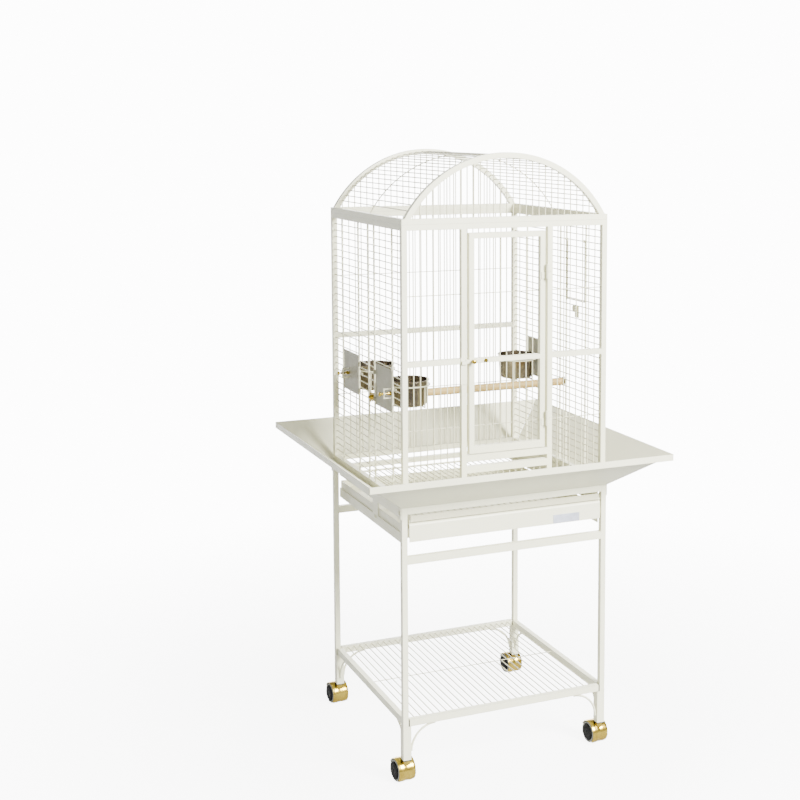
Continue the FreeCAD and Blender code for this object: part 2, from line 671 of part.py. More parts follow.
name_part(main_door(), "main_door")
FITTINGS = [knuckle(middle, HINGE_X + LEAF_REACH) for middle in HINGES]
name_part(group(FITTINGS + [keeper()]), "jamb_fittings")
DOOR_KNUCKLES = []
for hinge_middle in HINGES:
    foot_z = hinge_middle - Sizes.knuckle - Sizes.face_gap
    DOOR_KNUCKLES.append(knuckle(foot_z, HINGE_X - LEAF_REACH))
name_part(group(DOOR_KNUCKLES), "door_knuckles")
name_part(group([hinge_pin(middle) for middle in HINGES]), "hinge_pins")
name_part(door_latch(), "door_latch")
name_part(latch_rivet(), "latch_rivet")
LATCH_KNOB_PLACE = (RIVET_X - Sizes.latch_knob_place, LEVER_Y[0], LATCH_Z)
name_part(placed(pull_knob(Sizes.latch_knob, Sizes.latch_knob_length), LATCH_KNOB_PLACE,
                 Rotation(Vector(1, 0, 0), 90)), "latch_knob")


# ---------------------------------------------------------------- feeders

LUG_BORE = Sizes.wall_rod + Sizes.running * 2
LUG_OUTER = Sizes.wall_rod + (Sizes.running + Sizes.lug_wall) * 2
MID_FEEDER = (row_above(FEEDER_FOOT) + row_above(FEEDER_TOP)) // 2


def between_rows(number):
    """The height halfway between two wall wires."""
    return ROWS[number - 1] + Sizes.bar_pitch / 2


def lug(side, y, level, towards):
    """A curled hinge around a wall rod, with a strip that reaches towards the plate."""
    foot = level - Sizes.lug_height / 2
    barrel = rod("z", LUG_OUTER, (ROD_X * side, y, foot), Sizes.lug_height)
    reach = Sizes.feeder_gap / 2 - Sizes.feeder_plate_width / 2 + Sizes.weld
    along = (y, y + reach) if towards > 0 else (y - reach, y)
    middle, half = ROD_X * side, Sizes.feeder_sheet / 2
    strip = box((middle - half, middle + half), along, (foot, foot + Sizes.lug_height))
    return cut(fuse([barrel, strip]), [rod("z", LUG_BORE, (ROD_X * side, y, foot), Sizes.lug_height)])


PLUNGER_BORE = Sizes.plunger + Sizes.running * 2
DOOR_FACE = ROD_X + Sizes.feeder_sheet / 2


def plunger_y(rods, hinge, place):
    """Where a latch stands along the wall: off the rod at the door's free edge."""
    return rods[0] + place if hinge == 1 else rods[1] - place


def feeder_door(side, rods, hinge, latch_y):
    """A plate between two wall rods, hung on one of them, with the plunger's hole."""
    middle = (rods[0] + rods[1]) / 2
    half = Sizes.feeder_plate_width / 2
    sheet_half = Sizes.feeder_sheet / 2
    towards = -1 if hinge == 1 else 1
    across = (ROD_X * side - sheet_half, ROD_X * side + sheet_half)
    plate = box(across, (middle - half, middle + half), (FEEDER_FOOT, FEEDER_TOP))
    hole = rod("x", PLUNGER_BORE, (across[0], latch_y, between_rows(MID_FEEDER)), Sizes.feeder_sheet)
    first, last = row_above(FEEDER_FOOT) + 1, row_above(FEEDER_TOP) - 1
    lugs = [lug(side, rods[hinge], between_rows(row), towards) for row in (first, last)]
    return fuse([cut(plate, [hole])] + lugs)


def feeder_loop(side, latch_y):
    """A wire loop that stands out of the door, with an eye for the plunger in its upright wire."""
    level = between_rows(MID_FEEDER)
    wire = Sizes.loop_wire
    half = Sizes.loop_height / 2
    reach = Sizes.loop_reach
    far = (DOOR_FACE + reach) * side
    leg_start = DOOR_FACE if side > 0 else far
    eye_start = far - wire / 2
    pieces = [rod("z", wire, (far, latch_y, level - half), Sizes.loop_height),
              rod("x", Sizes.loop_eye, (eye_start, latch_y, level), wire)]
    for z in (level - half, level + half):
        pieces.append(rod("x", wire, (leg_start, latch_y, z), reach))
        pieces.append(ball(wire, (far, latch_y, z)))
    hole = rod("x", PLUNGER_BORE, (eye_start - CLEAR, latch_y, level), wire + CLEAR * 2)
    return cut(fuse(pieces), [hole])


def feeder_knob(side, latch_y):
    """The brass plunger, from the door's inner face: pin, spring barrel and pull knob."""
    sheet = Sizes.feeder_sheet
    knob_foot = sheet + Sizes.loop_reach + Sizes.loop_wire / 2 + Sizes.face_gap
    knob = placed(pull_knob(Sizes.feeder_knob, Sizes.feeder_knob_length), (ZERO, ZERO, knob_foot))
    pin = rod("z", Sizes.plunger, (ZERO, ZERO, ZERO), knob_foot + Sizes.face_gap)
    barrel = rod("z", Sizes.plunger_barrel, (ZERO, ZERO, sheet + Sizes.face_gap), Sizes.barrel_length)
    place = ((ROD_X - sheet / 2) * side, latch_y, between_rows(MID_FEEDER))
    return placed(fuse([pin, barrel, knob]), place, Rotation(Vector(0, 1, 0), 90 * side))


CUP_RIM = CAGE_BASE + Sizes.cup_rim_level
CUP_X = WIRE_X - Sizes.bar_wire / 2 - Sizes.cup_from_wall
# The ring is level with a wall wire, which its crossbar hooks on to.
RING_Z = ROWS[row_above(CUP_RIM - Sizes.cup_ring_drop) - 1]
RING_RADIUS = Sizes.cup_radius - Sizes.cup_roll + Sizes.cup_gap + Sizes.holder_wire / 2
# The rolled rim's outline, in rolls outward from the cup's wall and upward from the cup's top.
RIM_OUTLINE = [(0, -1), (0.5, -1.4), (1, -0.7), (0.7, -0.15), (0, 0)]


def cup(side, y):
    """A spun steel cup with a rolled rim."""
    wall = Sizes.cup_sheet
    roll = Sizes.cup_roll
    depth = Sizes.cup_depth
    outer = Sizes.cup_radius - roll
    bend = roll * 2
    base = outer - bend
    outside = [(0, 0), (base - bend, 0), (base, bend)]
    rim = [(outer + roll * across, depth + roll * up) for across, up in RIM_OUTLINE]
    inside = [(outer - wall, depth - roll / 2), (base - wall, bend), (base - bend, wall), (0, wall)]
    return placed(turned(outside + rim + inside), (CUP_X * side, y, CUP_RIM - depth))


def cup_holder(side, y):
    """A ring with two wires slung under the cup, on two arms from a crossbar behind the wall wires."""
    wire = Sizes.holder_wire
    thin = Sizes.cradle_wire
    centre = CUP_X * side
    near = RING_RADIUS * sine(Sizes.holder_angle)
    far = RING_RADIUS * cosine(Sizes.holder_angle)
    ring = doc.addObject("Part::Torus", "ring")
    bind(ring, "Radius1", RING_RADIUS)
    bind(ring, "Radius2", wire / 2)
    bind_place(ring, (centre, y, RING_Z))
    pieces = [ring]
    floor_z = CUP_RIM - Sizes.cup_depth - thin / 2
    for step_x in (-1, 1):
        x = centre + near * step_x
        pieces.append(rod("y", thin, (x, y - far, floor_z), far * 2))
        for step_y in (-1, 1):
            place = (x, y + far * step_y, floor_z)
            pieces.append(rod("z", thin, place, RING_Z - floor_z))
            pieces.append(ball(thin, place))
    wall_x = WIRE_X - Sizes.bar_wire / 2
    arm_start = centre + far if side > 0 else -wall_x
    for step_y in (-1, 1):
        pieces.append(rod("x", thin, (arm_start, y + near * step_y, RING_Z), wall_x - CUP_X - far))
    plate_x = (wall_x - wire / 2, wall_x) if side > 0 else (-wall_x, wire / 2 - wall_x)
    half = Sizes.feeder_gap / 2 + Sizes.holder_lap
    pieces.append(box(plate_x, (y - half, y + half), (RING_Z - wire, RING_Z + wire)))
    return fuse(pieces)


# Each feeder: its place, its wall, the rods beside it, the rod its door hangs on and its latch's place.
FEEDERS = [("left_front", -1, FRONT_FEEDER, 1, Sizes.front_loop_place),
           ("left_rear", -1, REAR_FEEDER, 0, Sizes.rear_loop_place),
           ("right_rear", 1, REAR_FEEDER, 0, Sizes.rear_loop_place)]
HOLDERS = []
for place_name, side_sign, feeder_span, hinge_end, loop_place in FEEDERS:
    latch_line = plunger_y(feeder_span, hinge_end, loop_place)
    name_part(feeder_door(side_sign, feeder_span, hinge_end, latch_line), "feeder_door_" + place_name)
    name_part(feeder_loop(side_sign, latch_line), "feeder_loop_" + place_name)
    name_part(feeder_knob(side_sign, latch_line), "feeder_knob_" + place_name)
    cup_y = (feeder_span[0] + feeder_span[1]) / 2
    name_part(cup(side_sign, cup_y), "cup_" + place_name)
    HOLDERS.append(cup_holder(side_sign, cup_y))
name_part(group(HOLDERS), "cup_holders")


# ---------------------------------------------------------------- perch

PERCH_Z = between_rows(row_above(FEEDER_FOOT) + 1)
PERCH_X = WIRE_X - Sizes.bar_wire / 2


def perch():
    """A dowel from wall to wall, with a screw hole up each end."""
    length = PERCH_X * 2
    dowel = rod("x", Sizes.perch_diameter, (-PERCH_X, -Sizes.perch_place, PERCH_Z), length)
    holes = []
    depth = Sizes.perch_diameter
    for start in (-PERCH_X, PERCH_X - depth):
        bore = Sizes.perch_screw + Sizes.running * 2
        holes.append(rod("x", bore, (start, -Sizes.perch_place, PERCH_Z), depth))
    return cut(dowel, holes)


def perch_screw(side):
    """A screw through the wall wires, with its washer and wing nut outside."""
    y = -Sizes.perch_place
    outside = WIRE_X + Sizes.bar_wire / 2
    washer = Sizes.leaf
    nut = Sizes.wing_nut
    inner_end = PERCH_X - Sizes.perch_grip
    length = outside + washer + nut + Sizes.screw_end - inner_end
    shank_start = inner_end if side > 0 else -inner_end - length
    washer_start = outside if side > 0 else -outside - washer
    nut_start = outside + washer if side > 0 else -outside - washer - nut
    wing_x = (nut_start + nut / 3, nut_start + nut * 2 / 3)
    return fuse([rod("x", Sizes.perch_screw, (shank_start, y, PERCH_Z), length),
                 rod("x", Sizes.perch_washer, (washer_start, y, PERCH_Z), washer),
                 rod("x", Sizes.perch_screw * 2, (nut_start, y, PERCH_Z), nut),
                 box(wing_x, (y - Sizes.leaf / 2, y + Sizes.leaf / 2),
                     (PERCH_Z - Sizes.wing_reach, PERCH_Z + Sizes.wing_reach))])


name_part(perch(), "perch")
name_part(group([perch_screw(-1), perch_screw(1)]), "perch_screws")


# ---------------------------------------------------------------- small wall door

NEST_HANG = ROWS[NEST_LAST + 1]
NEST_X = WIRE_X + Sizes.bar_wire / 2 + Sizes.face_gap + Sizes.nest_wire / 2
NEST_CLEAR = Sizes.wall_rod / 2 + Sizes.face_gap * 2 + Sizes.nest_eye_width / 2


def nest_door():
    """A wire frame with level wires, hooked at the top over one of the wall wires."""
    low, high = NEST[0] + NEST_CLEAR, NEST[1] - NEST_CLEAR
    foot = ROWS[NEST_FIRST - 1] - Sizes.bar_pitch / 4
    bore = Sizes.bar_wire + Sizes.running * 2
    pieces = []
    for y in (low, high):
        pieces.append(rod("z", Sizes.nest_wire, (NEST_X, y, foot), NEST_HANG - foot))
        pieces.append(ball(Sizes.nest_wire, (NEST_X, y, foot)))
        eye_start = (WIRE_X, y - Sizes.nest_eye_width / 2, NEST_HANG)
        pieces.append(rod("y", Sizes.nest_eye, eye_start, Sizes.nest_eye_width))
    pieces.append(rod("y", Sizes.nest_wire, (NEST_X, low, foot), high - low))
    for row in ROWS[NEST_FIRST:NEST_LAST + 1]:
        pieces.append(rod("y", Sizes.bar_wire, (NEST_X, low, row), high - low))
    hole = rod("y", bore, (WIRE_X, low - Sizes.nest_wire, NEST_HANG), high - low + Sizes.nest_wire * 2)
    return cut(fuse(pieces), [hole])


def nest_latch():
    """A turn button on its screw, hanging free below the small wall door until it is turned up."""
    y = (NEST[0] + NEST[1]) / 2
    pivot = between_rows(NEST_FIRST - 2)
    plate_x = NEST_X + Sizes.nest_wire / 2 + Sizes.face_gap
    half = Sizes.button_width / 2
    plate = box((plate_x, plate_x + Sizes.leaf), (y - half, y + half),
                (pivot - Sizes.button_long, pivot + Sizes.button_short))
    wall = WIRE_X - Sizes.bar_wire / 2 - Sizes.leaf
    boss = rod("x", Sizes.perch_screw, (wall, y, pivot), plate_x - wall)
    washer = rod("x", Sizes.button_washer, (wall, y, pivot), Sizes.leaf)
    head = rod("x", Sizes.screw_head, (plate_x + Sizes.leaf, y, pivot), Sizes.screw_head_rise)
    return fuse([plate, boss, washer, head])


name_part(nest_door(), "nest_door")
name_part(nest_latch(), "nest_latch")


# ---------------------------------------------------------------- stand

STAND_X = HALF_WIDTH + Sizes.stand_margin
STAND_Y = HALF_DEPTH
LEG_FOOT = Sizes.shelf_level - Sizes.leg_below_shelf
TRAY_RUNNER_TOP = Sizes.stand_top - Sizes.tray_runner_drop
GRATE_RUNNER_TOP = Sizes.stand_top - Sizes.grate_runner_drop
SIDE_BRACKET_FOOT = Sizes.stand_top - Sizes.side_bracket_drop
HOOD_RISE = Sizes.hood_gap + Sizes.hood_sheet + Sizes.hood_crown
POST_FOOT = Sizes.wheel_radius * 2 + HOOD_RISE + Sizes.hood_room
STEM_TOP = POST_FOOT + Sizes.stem_reach
LEG_X = STAND_X - Sizes.tube
LEG_Y = STAND_Y - Sizes.tube
CORNERS = [(-1, -1), (1, -1), (-1, 1), (1, 1)]


def span(sign, inner, outer):
    """A low-to-high pair on one side of the middle."""
    return (inner, outer) if sign > 0 else (-outer, -inner)


def stand_legs():
    legs = []
    for side, end in CORNERS:
        legs.append(square_tube(span(side, LEG_X, STAND_X), span(end, LEG_Y, STAND_Y),
                                (LEG_FOOT, Sizes.stand_top), "z"))
    return group(legs)


def stand_rails():
    """Top rails and crossbars between the legs, front and rear."""
    rear_top = Sizes.stand_top - Sizes.rear_rail_drop
    front_cross = Sizes.stand_top - Sizes.front_cross_drop
    rear_cross = Sizes.stand_top - Sizes.rear_cross_drop
    levels = [(-1, Sizes.stand_top - Sizes.top_rail, Sizes.stand_top),
              (1, rear_top - Sizes.tube, rear_top),
              (-1, front_cross, front_cross + Sizes.cross_rail),
              (1, rear_cross, rear_cross + Sizes.cross_rail)]
    rails = []
    for end, foot, top in levels:
        rails.append(square_tube((-LEG_X, LEG_X), span(end, LEG_Y, STAND_Y), (foot, top), "x"))
    return group(rails)


def side_frame(side):
    """Top rail, grate runner, tray runner and the plate that joins them."""
    along = (-LEG_Y, LEG_Y)
    rail_x = (LEG_X - Sizes.runner_sheet, STAND_X - Sizes.runner_sheet)
    rail_foot = Sizes.stand_top - Sizes.top_rail
    web = (rail_x[0] - Sizes.runner_sheet, rail_x[0])
    grate_foot = GRATE_RUNNER_TOP - Sizes.runner_sheet
    angle_foot = TRAY_RUNNER_TOP - Sizes.angle_height
    plate_y = -Sizes.side_bracket_place
    half = Sizes.side_bracket_width / 2
    pieces = [box(span(side, *rail_x), along, (rail_foot, Sizes.stand_top)),
              box(span(side, *web), along, (grate_foot, Sizes.stand_top)),
              box(span(side, web[0] - Sizes.runner_reach, web[0]), along,
                  (grate_foot, GRATE_RUNNER_TOP)),
              box(span(side, *web), along, (angle_foot, TRAY_RUNNER_TOP)),
              box(span(side, web[0] - Sizes.runner_reach, web[0]), along,
                  (TRAY_RUNNER_TOP - Sizes.runner_sheet, TRAY_RUNNER_TOP)),
              box(span(side, *web), (plate_y - half, plate_y + half), (SIDE_BRACKET_FOOT, rail_foot))]
    return fuse(pieces)


BRACKET_Y = STAND_Y - Sizes.bracket_width / 2 - Sizes.bracket_inset


def leg_brackets():
    """Small plates on the outside of the leg tops."""
    plates = []
    for side, end in CORNERS:
        middle = BRACKET_Y * end
        along = (middle - Sizes.bracket_width / 2, middle + Sizes.bracket_width / 2)
        plates.append(box(span(side, STAND_X, STAND_X + Sizes.bracket_sheet), along,
                          (Sizes.stand_top - Sizes.bracket_height, Sizes.stand_top)))
    return group(plates)


def frame_screws():
    """Screw heads on the brackets and on the side frames' plates."""
    heads = []
    height = Sizes.stand_top - Sizes.bracket_height / 2
    rise = Sizes.screw_head_rise
    for side, end in CORNERS:
        start = STAND_X + Sizes.bracket_sheet if side > 0 else -STAND_X - Sizes.bracket_sheet - rise
        heads.append(rod("x", Sizes.screw_head, (start, BRACKET_Y * end, height), rise))
    for side in (-1, 1):
        start = LEG_X - Sizes.runner_sheet if side > 0 else -LEG_X + Sizes.runner_sheet - rise
        level = SIDE_BRACKET_FOOT + Sizes.screw_head / 2
        heads.append(rod("x", Sizes.screw_head, (start, -Sizes.side_bracket_place, level), rise))
    return group(heads)


def shelf():
    """Four rails with wires from front to back, and one wire across under them."""
    plug = Sizes.shelf_plug
    upright = (Sizes.shelf_level, Sizes.shelf_level + Sizes.shelf_rail)
    rail_x, rail_y = LEG_X - plug, LEG_Y - plug
    pieces = []
    for end in (-1, 1):
        pieces.append(box((-rail_x, rail_x), span(end, LEG_Y, STAND_Y), upright))
    for side in (-1, 1):
        pieces.append(box(span(side, LEG_X - plug, STAND_X - plug), (-rail_y, rail_y), upright))
    wire_z = upright[1] - Sizes.bar_wire
    for x in spread(-rail_x, rail_x):
        pieces.append(rod("y", Sizes.bar_wire, (x, -LEG_Y - SINK, wire_z), (LEG_Y + SINK) * 2))
    under = wire_z - (Sizes.bar_wire + Sizes.tie_wire) / 2 + Sizes.weld
    pieces.append(rod("x", Sizes.tie_wire, (-rail_x - SINK, ZERO, under), (rail_x + SINK) * 2))
    return fuse(pieces)


def shelf_plugs():
    """Black end plugs that fill the gap between the shelf rails and the legs."""
    plug = Sizes.shelf_plug
    inset = Sizes.tube_wall
    upright = (Sizes.shelf_level, Sizes.shelf_level + Sizes.shelf_rail - Sizes.tube_wall * 2)
    plugs = []
    for side, end in CORNERS:
        y_span = span(end, LEG_Y, STAND_Y)
        plugs.append(box(span(side, LEG_X - plug, LEG_X), (y_span[0] + inset, y_span[1] - inset), upright))
        x_span = span(side, LEG_X, STAND_X - plug)
        plugs.append(box((x_span[0] + inset, x_span[1] - inset), span(end, LEG_Y - plug, LEG_Y), upright))
    return group(plugs)


def foot_posts():
    posts = []
    for side, end in CORNERS:
        across = span(side, STAND_X - Sizes.post, STAND_X)
        along = span(end, STAND_Y - Sizes.post, STAND_Y)
        posts.append(square_tube(across, along, (POST_FOOT, LEG_FOOT), "z"))
    return group(posts)


def quarter_brace(place, rotation):
    """A quarter turn of rod; its centre of bend is at the given place."""
    piece = doc.addObject("Part::Torus", "brace")
    piece.Placement = FreeCAD.Placement(Vector(), rotation)
    bind(piece, "Radius1", Sizes.brace_radius)
    bind(piece, "Radius2", Sizes.brace / 2)
    piece.Angle3 = 90
    bind_place(piece, place)
    return piece


def corner_braces():
    """Two bent rods in each corner, from the foot post up to the shelf rails."""
    braces = []
    centre_z = Sizes.shelf_level - Sizes.brace / 2 - Sizes.brace_radius
    reach = Sizes.post + Sizes.brace / 2 + Sizes.brace_radius
    stand_up = Rotation(Vector(1, 0, 0), 90)
    face_side = Rotation(Vector(0, 0, 1), 90) * stand_up
    mirror_x = Rotation(Vector(0, 0, 1), 180) * stand_up
    mirror_y = Rotation(Vector(0, 0, 1), -90) * stand_up
    for side, end in CORNERS:
        y = (STAND_Y - Sizes.tube / 2) * end
        place = ((STAND_X - reach) * side, y, centre_z)
        braces.append(quarter_brace(place, stand_up if side > 0 else mirror_x))
        x = (STAND_X - Sizes.shelf_plug - Sizes.tube / 2) * side
        place = (x, (STAND_Y - reach) * end, centre_z)
        braces.append(quarter_brace(place, face_side if end > 0 else mirror_y))
    return group(braces)


name_part(stand_legs(), "stand_legs")
name_part(stand_rails(), "stand_rails")
name_part(group([side_frame(-1), side_frame(1)]), "side_frames")
name_part(leg_brackets(), "leg_brackets")
name_part(frame_screws(), "frame_screws")
name_part(shelf(), "shelf")
name_part(shelf_plugs(), "shelf_plugs")
name_part(foot_posts(), "foot_posts")
name_part(corner_braces(), "corner_braces")


# ---------------------------------------------------------------- grate and tray

DRAWER_X = LEG_X - Sizes.tray_side_gap
TRAY_FLOOR = TRAY_RUNNER_TOP + Sizes.slide_gap
GRATE_FLOOR = GRATE_RUNNER_TOP + Sizes.slide_gap


def tray():
    """A shallow sheet tray with a taller front and a rolled lip to pull it by."""
    wall = Sizes.tray_sheet
    front = -STAND_Y
    back = front + Sizes.tray_depth
    top = TRAY_FLOOR + Sizes.tray_wall
    foot = TRAY_FLOOR - Sizes.tray_apron
    inner_x = DRAWER_X - wall
    inside = box((-inner_x, inner_x), (front + wall, back - wall), (TRAY_FLOOR + wall, top))
    shell = cut(box((-DRAWER_X, DRAWER_X), (front, back), (TRAY_FLOOR, top)), [inside])
    lip_radius = Sizes.tray_lip / 2
    lip_z = foot + Sizes.tray_front
    apron = box((-DRAWER_X, DRAWER_X), (front - wall, front), (foot, lip_z))
    lip_start = (-DRAWER_X, front - wall + lip_radius, lip_z)
    lip = hollow("x", Sizes.tray_lip, Sizes.tray_lip - wall * 2, lip_start, DRAWER_X * 2)
    return fuse([shell, apron, lip])


def label_plate():
    """A blank plate on the tray's front."""
    half = Sizes.label_width / 2
    front = -STAND_Y - Sizes.tray_sheet
    foot = TRAY_FLOOR - Sizes.tray_apron + Sizes.tray_sheet
    return box((Sizes.label_place - half, Sizes.label_place + half), (front - Sizes.label_sheet, front),
               (foot, foot + Sizes.label_height))


def grate():
    """Side and cross rods, front-to-back wires, and an upright front strip with two pull tabs."""
    side = Sizes.grate_frame
    front = -STAND_Y
    back = front + Sizes.grate_depth
    z = GRATE_FLOOR + side / 2
    low, high = side / 2 - DRAWER_X, DRAWER_X - side / 2
    pieces = [rod("y", side, (low, front, z), Sizes.grate_depth),
              rod("y", side, (high, front, z), Sizes.grate_depth)]
    for y in (front + side, (front + back) / 2, back - side):
        pieces.append(rod("x", Sizes.grate_cross, (low, y, z), high - low))
    for x in spread(low, high):
        pieces.append(rod("y", Sizes.bar_wire, (x, front, z), Sizes.grate_depth - side))
    strip_y = (front - Sizes.tray_sheet, front + Sizes.weld)
    strip_z = (GRATE_FLOOR + Sizes.tray_sheet, GRATE_FLOOR + Sizes.grate_lip)
    pieces.append(box((low, high), strip_y, strip_z))
    return fuse(pieces)


name_part(tray(), "tray")
name_part(label_plate(), "label_plate")
name_part(grate(), "grate")


# ---------------------------------------------------------------- seed guards

def seed_guard(half_length, half_across, rotation):
    """One sloped guard, drawn as the front one: a flange, a slope and a turned-down lip, mitred."""
    gauge = Sizes.guard_sheet
    flange_top = Sizes.stand_top + gauge
    outer = half_across + Sizes.guard_overhang
    bend = half_across + Sizes.guard_flat
    top = Sizes.stand_top + Sizes.guard_rise
    slope = (top - flange_top) / (outer - bend)
    drop = gauge * root(slope * slope + 1)
    under_bend = bend + (drop - gauge) / slope
    inner = half_across - Sizes.guard_flange
    corners = [(-inner, flange_top), (-bend, flange_top), (-outer, top), (-outer, top - Sizes.guard_lip),
               (gauge - outer, top - Sizes.guard_lip), (gauge - outer, top - drop - gauge * slope),
               (-under_bend, Sizes.stand_top), (-inner, Sizes.stand_top)]
    body = doc.addObject("PartDesign::Body", "guard")
    sketch = outline(body, "YZ_Plane", corners)
    pad = body.newObject("PartDesign::Pad", "sheet")
    pad.Profile = sketch
    full = (half_length + Sizes.guard_overhang) * 2
    bind(pad, "Length", full)
    pad.SideType = "Symmetric"
    tools = []
    gap = Sizes.guard_mitre_gap * math.sqrt(2)
    beyond = Sizes.guard_overhang * 2
    back = Sizes.guard_overhang
    upright = (Sizes.stand_top - gauge * 2, top + gauge)
    length = beyond * 3
    right = box((0, beyond), (0, length), upright)
    right.Placement = FreeCAD.Placement(Vector(), Rotation(Vector(0, 0, 1), 45))
    bind_place(right, (half_length - gap + beyond, -half_across - beyond, upright[0]))
    left = box((0, beyond), (0, length), upright)
    left.Placement = FreeCAD.Placement(Vector(), Rotation(Vector(0, 0, 1), 135))
    bind_place(left, (gap - half_length + back, back - half_across, upright[0]))
    piece = cut(body, [right, left])
    piece.Placement = FreeCAD.Placement(Vector(), Rotation(Vector(0, 0, 1), rotation))
    return piece


name_part(seed_guard(STAND_X, STAND_Y, 0), "front_seed_guard")
name_part(seed_guard(STAND_X, STAND_Y, 180), "rear_seed_guard")
name_part(group([seed_guard(STAND_Y, STAND_X, 90), seed_guard(STAND_Y, STAND_X, -90)]), "side_seed_guards")


# ---------------------------------------------------------------- casters

POST_X = STAND_X - Sizes.post / 2
POST_Y = STAND_Y - Sizes.post / 2
AXLE_Z = Sizes.wheel_radius
CASTER_NAMES = {(-1, -1): "front_left", (1, -1): "front_right", (-1, 1): "rear_left", (1, 1): "rear_right"}


def stem_socket(side, end):
    """A black plug in the foot post, with a collar under it and a bore for the stem."""
    half = Sizes.post / 2 - Sizes.tube_wall - Sizes.slide_gap
    x, y = POST_X * side, POST_Y * end
    top = STEM_TOP + Sizes.collar
    foot = POST_FOOT - Sizes.collar
    plug = box((x - half, x + half), (y - half, y + half), (foot, top))
    rim = Sizes.post / 2
    collar = box((x - rim, x + rim), (y - rim, y + rim), (foot, POST_FOOT))
    bore = rod("z", Sizes.stem + Sizes.running * 2, (x, y, foot), STEM_TOP - foot + Sizes.slide_gap)
    return cut(fuse([plug, collar]), [bore])


def upright_disc(corners):
    """A lathe shape about the X axis; each corner is a radius and a place along the axle."""
    return placed(turned(corners), (ZERO, ZERO, ZERO), TURNS["x"])


def pie(diameter, half_width, first, degrees):
    """A sector about the X axis, from an angle ahead of upright to one behind it."""
    piece = doc.addObject("Part::Cylinder", "sector")
    bind(piece, "Radius", diameter / 2)
    bind(piece, "Height", half_width * 2)
    bind(piece, "Angle", degrees)
    piece.Placement = FreeCAD.Placement(Vector(), Rotation(Vector(1, 0, 0), first) * TURNS["x"])
    bind_place(piece, (-half_width, ZERO, ZERO))
    return piece


# The hood's outline across both wheels, as shares of its half width and of its crown.
HOOD_OUTLINE = [(-1, 0), (-0.75, 1), (-0.35, 1), (0, 0), (0.35, 1), (0.75, 1), (1, 0)]


def caster_hood():
    """Hood over both wheels with its web, axle, boss and stem; the axle's middle is at the origin."""
    inner = Sizes.wheel_radius + Sizes.hood_gap
    thin = inner + Sizes.hood_sheet
    half = Sizes.caster_web / 2 + Sizes.face_gap + Sizes.wheel_width
    outside = [(thin + Sizes.hood_crown * swell, half * place) for place, swell in HOOD_OUTLINE]
    shell = upright_disc([(inner, -half)] + outside + [(inner, half)])
    # The sector's own zero points down, and it opens towards the front.
    first = -180 - Sizes.hood_back.value
    degrees = Sizes.hood_front + Sizes.hood_back
    cover = doc.addObject("Part::Common", "cover")
    cover.Base = shell
    cover.Tool = pie((thin + Sizes.hood_crown + CLEAR) * 2, half + CLEAR, first, degrees)
    web = pie(inner * 2 + Sizes.hood_sheet, Sizes.caster_web / 2, first, degrees)
    axle_half = half - Sizes.axle_cover
    axle = rod("x", Sizes.axle, (-axle_half, ZERO, ZERO), axle_half * 2)
    hub = rod("x", Sizes.web_hub, (-Sizes.caster_web / 2, ZERO, ZERO), Sizes.caster_web)
    stem_y = -Sizes.caster_trail
    boss_top = POST_FOOT - Sizes.collar - AXLE_Z - Sizes.face_gap
    boss = rod("z", Sizes.stem_boss, (ZERO, stem_y, Sizes.boss_foot), boss_top - Sizes.boss_foot)
    room = hollow("x", inner * 2, Sizes.axle, (-half, ZERO, ZERO), half * 2)
    stem = rod("z", Sizes.stem, (ZERO, stem_y, Sizes.boss_foot), STEM_TOP - AXLE_Z - Sizes.boss_foot)
    return fuse([cover, web, axle, hub, cut(boss, [room]), stem])


def caster_wheel(hand):
    """Tyre, recessed flank and hub cap in one turned piece, closed over the axle's end."""
    near = Sizes.caster_web / 2 + Sizes.face_gap
    far = near + Sizes.wheel_width
    radius = Sizes.wheel_radius
    edge = Sizes.tyre_edge
    floor = far - Sizes.flank_recess
    flank = radius - Sizes.tyre_side - edge
    bore = Sizes.axle / 2 + Sizes.running
    pocket = far - Sizes.axle_cover + Sizes.face_gap
    cap = Sizes.hub_cap
    tyre = [(bore, near), (radius - edge, near), (radius, near + edge), (radius, far - edge),
            (radius - edge, far), (radius - Sizes.tyre_side, far)]
    flank_and_cap = [(flank, floor), (cap, floor), (cap - edge, far - edge), (cap / 2, far),
                     (0, far + Sizes.hub_dome)]
    inside = [(0, pocket), (bore, pocket)]
    return upright_disc([(r, as_size(place) * hand) for r, place in tyre + flank_and_cap + inside])


for (side_sign, end_sign), corner_name in CASTER_NAMES.items():
    turn = Rotation(Vector(0, 0, 1), Sizes.caster_turn.value)
    axle_place = (POST_X * side_sign - sine(Sizes.caster_turn) * Sizes.caster_trail,
                  POST_Y * end_sign + cosine(Sizes.caster_turn) * Sizes.caster_trail, AXLE_Z)
    hood = group([caster_hood()])
    name_part(placed(hood, axle_place, turn), "caster_hood_" + corner_name)
    for hand, wheel_name in ((-1, "left_wheel_"), (1, "right_wheel_")):
        name_part(placed(group([caster_wheel(hand)]), axle_place, turn), wheel_name + corner_name)
name_part(group([stem_socket(side, end) for side, end in CORNERS]), "stem_sockets")


# ---------------------------------------------------------------- checks and files

doc.recompute()
for piece in doc.Objects:
    if "Invalid" in piece.State or "Error" in piece.State:
        raise RuntimeError(f"{piece.Name} ({piece.Label}) failed: {piece.State}")
for label, piece in SUB_PARTS.items():
    if piece.Shape.isNull() or not piece.Shape.isValid() or not piece.Shape.Solids:
        raise RuntimeError(f"{label} has no valid solid")
    piece.Shape.exportStep(f"parts/{label}.step")
    print(f"{label}: {len(piece.Shape.Solids)} solids, {piece.Shape.Volume / 1000:.1f} cm3")
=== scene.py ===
"""Looks of the bird cage on its stand: materials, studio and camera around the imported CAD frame."""

import json
import math

import bpy
from mathutils import Matrix, Vector

